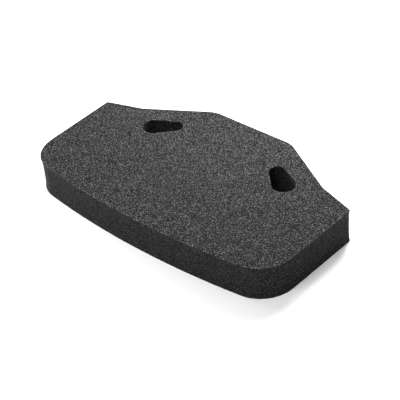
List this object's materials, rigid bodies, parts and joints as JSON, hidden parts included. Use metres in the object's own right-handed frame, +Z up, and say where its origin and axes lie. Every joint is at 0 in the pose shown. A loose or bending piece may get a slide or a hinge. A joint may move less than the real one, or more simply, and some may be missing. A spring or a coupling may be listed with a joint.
{
  "type": "foam protector pad",
  "caption": "Flat die-cut foam pad that cushions knocks, with a bowed front edge, rounded front corners, a stepped rear and tapered slots for posts.",
  "frame": {"origin": "centre of the pad's bounding box, on its lower face", "axes": "+X across the pad's width, +Y towards the stepped rear edge, +Z up through the sheet's thickness"},
  "size_m": [0.175, 0.099, 0.02],
  "materials": {
    "foam": "matte"
  },
  "bodies": {
    "root": {"foam_pad": "foam"}
  },
  "joints": []
}
